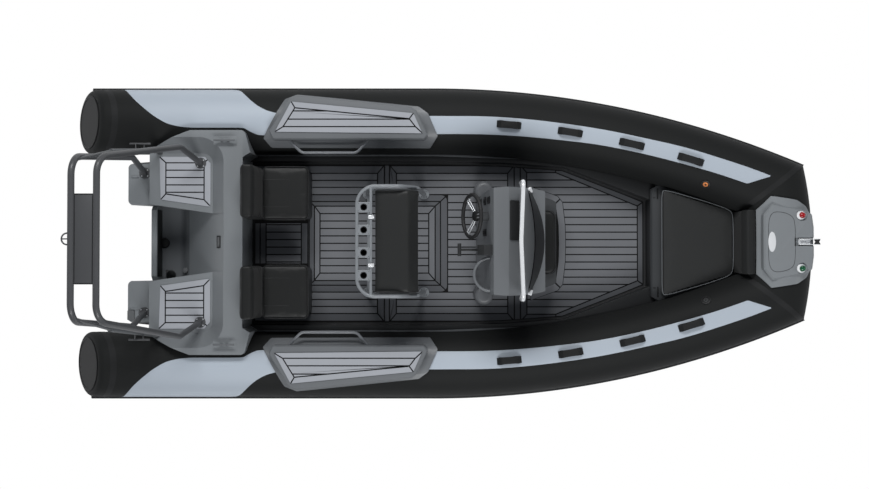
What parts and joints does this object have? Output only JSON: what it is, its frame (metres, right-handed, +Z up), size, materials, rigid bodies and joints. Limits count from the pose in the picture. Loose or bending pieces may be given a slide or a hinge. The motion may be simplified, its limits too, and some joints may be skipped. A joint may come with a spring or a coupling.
{
  "type": "rigid inflatable boat",
  "caption": "Rigid inflatable boat with a deep-V hull, bow-mitred buoyancy tubes, helm console, leaning post, aft seats, stern arch and an outboard well.",
  "frame": {"origin": "on the waterline and the centreline, amidships", "axes": "+X towards the bow, +Y to port, +Z up"},
  "size_m": [6.4606, 2.7578, 2.37],
  "materials": {
    "hull_gelcoat": "moulded gelcoat, satin",
    "liner_gelcoat": "black non-slip gelcoat",
    "grey_gelcoat": "grey gelcoat, satin",
    "tube_fabric": "coated tube fabric, matt black with grey panels",
    "strake_rubber": "extruded rubber",
    "valve": "moulded plastic with a bronze cap",
    "deck_foam": "brushed grey closed-cell foam in planks",
    "pad_foam": "light grey closed-cell foam in planks",
    "seat_vinyl": "black marine vinyl",
    "step_gelcoat": "grey moulded plastic",
    "rail_paint": "grey powder coat",
    "smoked_screen": "smoked acrylic",
    "bright_rail": "polished stainless steel",
    "wheel_grip": "soft black grip on steel spokes",
    "screen_black": "black display",
    "locker_gelcoat": "dark grey gelcoat",
    "lamp": "white lamp body with a coloured lens",
    "arch_paint": "charcoal powder coat"
  },
  "bodies": {
    "boat": {"arch_aft_hoop": "arch_paint", "arch_braces": "arch_paint", "arch_forward_hoop": "arch_paint", "arch_grips": "rail_paint", "arch_plate": "arch_paint", "back_hoop": "rail_paint", "bow_bolster": "seat_vinyl", "bow_cushion": "seat_vinyl", "bow_locker": "locker_gelcoat", "bow_step": "grey_gelcoat", "console": "grey_gelcoat", "console_rail": "bright_rail", "corner_pods": "liner_gelcoat", "deck_liner": "liner_gelcoat", "deck_planking": "deck_foam", "front_cushion": "seat_vinyl", "grab_lip": "rail_paint", "helm_hub": "wheel_grip", "hull": "hull_gelcoat", "ladder_bracket": "grey_gelcoat", "lean_cushion": "seat_vinyl", "leaning_post": "rail_paint", "nav_lights": "lamp", "oval_plate": "bright_rail", "plotter": "screen_black", "rod_holders": "rail_paint", "roller_cheeks": "bright_rail", "rub_strakes": "strake_rubber", "seat_backrests": "seat_vinyl", "seat_bases": "liner_gelcoat", "seat_cushions": "seat_vinyl", "side_pads": "pad_foam", "side_rails": "rail_paint", "side_steps": "step_gelcoat", "stern_cleats": "rail_paint", "stern_moulding": "grey_gelcoat", "stern_pads": "pad_foam", "stern_steps": "grey_gelcoat", "throttle": "wheel_grip", "tow_ring": "arch_paint", "transom": "grey_gelcoat", "tube_bow": "tube_fabric", "tube_end_panels": "strake_rubber", "tube_handles": "strake_rubber", "tube_port": "tube_fabric", "tube_starboard": "tube_fabric", "tube_valves": "valve", "windscreen": "smoked_screen"},
    "wheel": {"steering_wheel": "wheel_grip"},
    "bow_roller": {"anchor_roller": "strake_rubber"}
  },
  "joints": [
    {"name": "steering", "type": "hinge", "parent": "boat", "child": "wheel", "pos_m": [0.305, 0.206, 1.095], "axis": [0.9205, 0, -0.3907], "range_deg": [-540, 540]},
    {"name": "roller_turn", "type": "hinge", "parent": "boat", "child": "bow_roller", "pos_m": [3.19, 0, 0.899], "axis": [0, 1, 0], "continuous": true}
  ]
}
